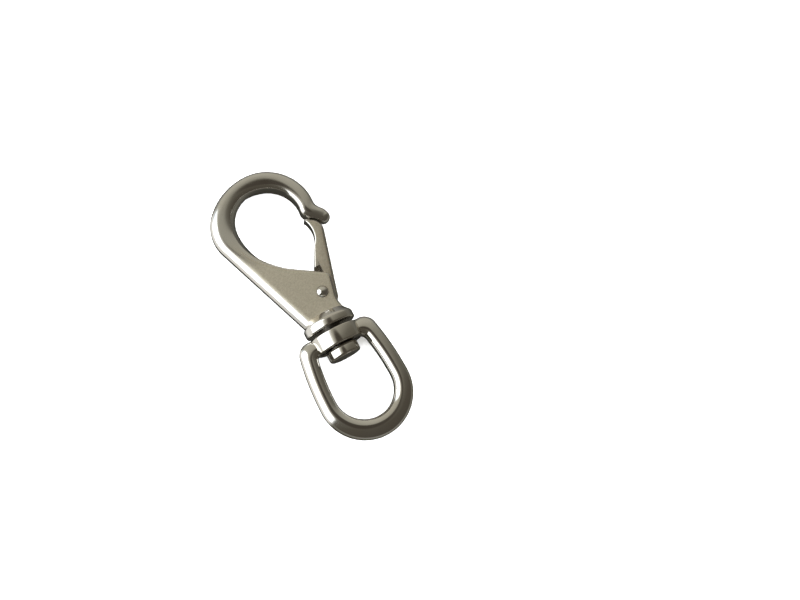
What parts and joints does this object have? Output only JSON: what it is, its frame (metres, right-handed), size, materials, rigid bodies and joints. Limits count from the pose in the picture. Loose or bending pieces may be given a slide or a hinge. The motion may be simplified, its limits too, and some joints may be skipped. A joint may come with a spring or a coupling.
{
  "type": "swivel eye snap hook",
  "caption": "Stainless snap hook with a sprung gate in a slotted shank, a round bow closed by a beak, and a swivelling eye on a headed pin.",
  "frame": {"origin": "centre of the swivel eye's bearing arc, on the swivel axis, in the hook's mid-plane", "axes": "+Y along the swivel axis from the eye towards the bow, +X towards the gate's side, +Z normal to the flat faces of the hook and eye"},
  "size_m": [0.0474, 0.12, 0.0214],
  "materials": {
    "hook_steel": "polished bow, back and collar, bead-blasted satin flats on the shank",
    "gate_steel": "bead-blasted satin flats with polished edges",
    "eye_steel": "polished",
    "pin_steel": "polished",
    "rivet_steel": "polished, faint turning marks",
    "spring_steel": "drawn wire"
  },
  "bodies": {
    "hook": {"hook_body": "hook_steel", "gate_rivet": "rivet_steel", "swivel_pin": "pin_steel"},
    "gate": {"gate": "gate_steel", "gate_spring": "spring_steel"},
    "eye": {"swivel_eye": "eye_steel"}
  },
  "joints": [
    {"name": "gate_hinge", "type": "hinge", "parent": "hook", "child": "gate", "pos_m": [0.0032, 0.0415, 0], "axis": [0, 0, 1], "range_deg": [0, 37], "stiffness_Nm_per_rad": 0.06, "springref_deg": -68.75, "deforming": ["gate_spring"]},
    {"name": "eye_swivel", "type": "hinge", "parent": "hook", "child": "eye", "pos_m": [0, 0.0225, 0], "axis": [0, 1, 0], "continuous": true}
  ]
}
